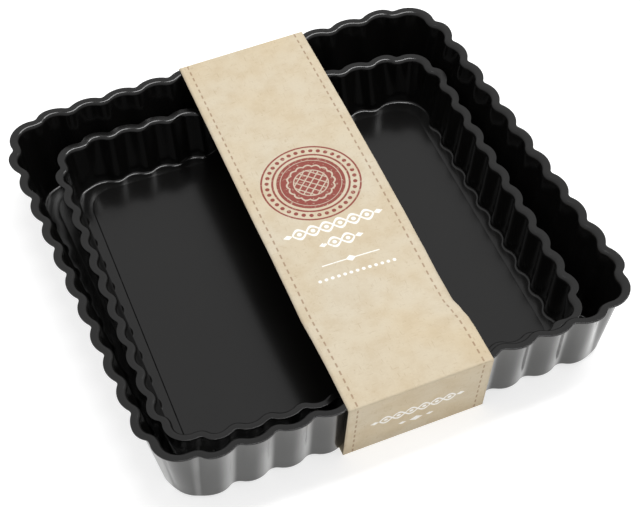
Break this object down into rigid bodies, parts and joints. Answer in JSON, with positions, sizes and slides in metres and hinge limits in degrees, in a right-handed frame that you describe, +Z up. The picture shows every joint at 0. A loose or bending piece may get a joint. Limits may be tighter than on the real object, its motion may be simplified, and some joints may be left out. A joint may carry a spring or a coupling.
{
  "type": "tart pan",
  "caption": "Two nested square fluted loose-base baking tins, one inside the other, held together by a card sleeve that slides off sideways.",
  "frame": {"origin": "middle of the underside, where the sleeve and the tins on it rest", "axes": "+Z up; +Y along the sleeve from the front edge to the back; +X to the right, the way the sleeve slides off"},
  "size_m": [0.23, 0.232, 0.041],
  "materials": {
    "coated_steel_outer": "satin non-stick coating on sheet steel, silver-grey on the outside of the wall",
    "coated_steel_inner": "satin non-stick coating on sheet steel",
    "kraft_card": "uncoated kraft card with a matt print"
  },
  "bodies": {
    "outer_ring": {"outer_ring": "coated_steel_outer"},
    "outer_base": {"outer_base": "coated_steel_outer"},
    "inner_ring": {"inner_ring": "coated_steel_inner"},
    "inner_base": {"inner_base": "coated_steel_inner"},
    "card_band": {"card_band": "kraft_card"}
  },
  "joints": [
    {"name": "sleeve_slide", "type": "slide", "parent": "outer_ring", "child": "card_band", "axis": [1, 0, 0], "range_m": [-0.165, 0.165]},
    {"name": "outer_base_lift", "type": "slide", "parent": "outer_ring", "child": "outer_base", "axis": [0, 0, 1], "range_m": [0, 0.0055]},
    {"name": "inner_tin_lift", "type": "slide", "parent": "outer_base", "child": "inner_ring", "axis": [0, 0, 1], "range_m": [0, 0.006]},
    {"name": "inner_base_lift", "type": "slide", "parent": "inner_ring", "child": "inner_base", "axis": [0, 0, 1], "range_m": [0, 0.018]}
  ]
}
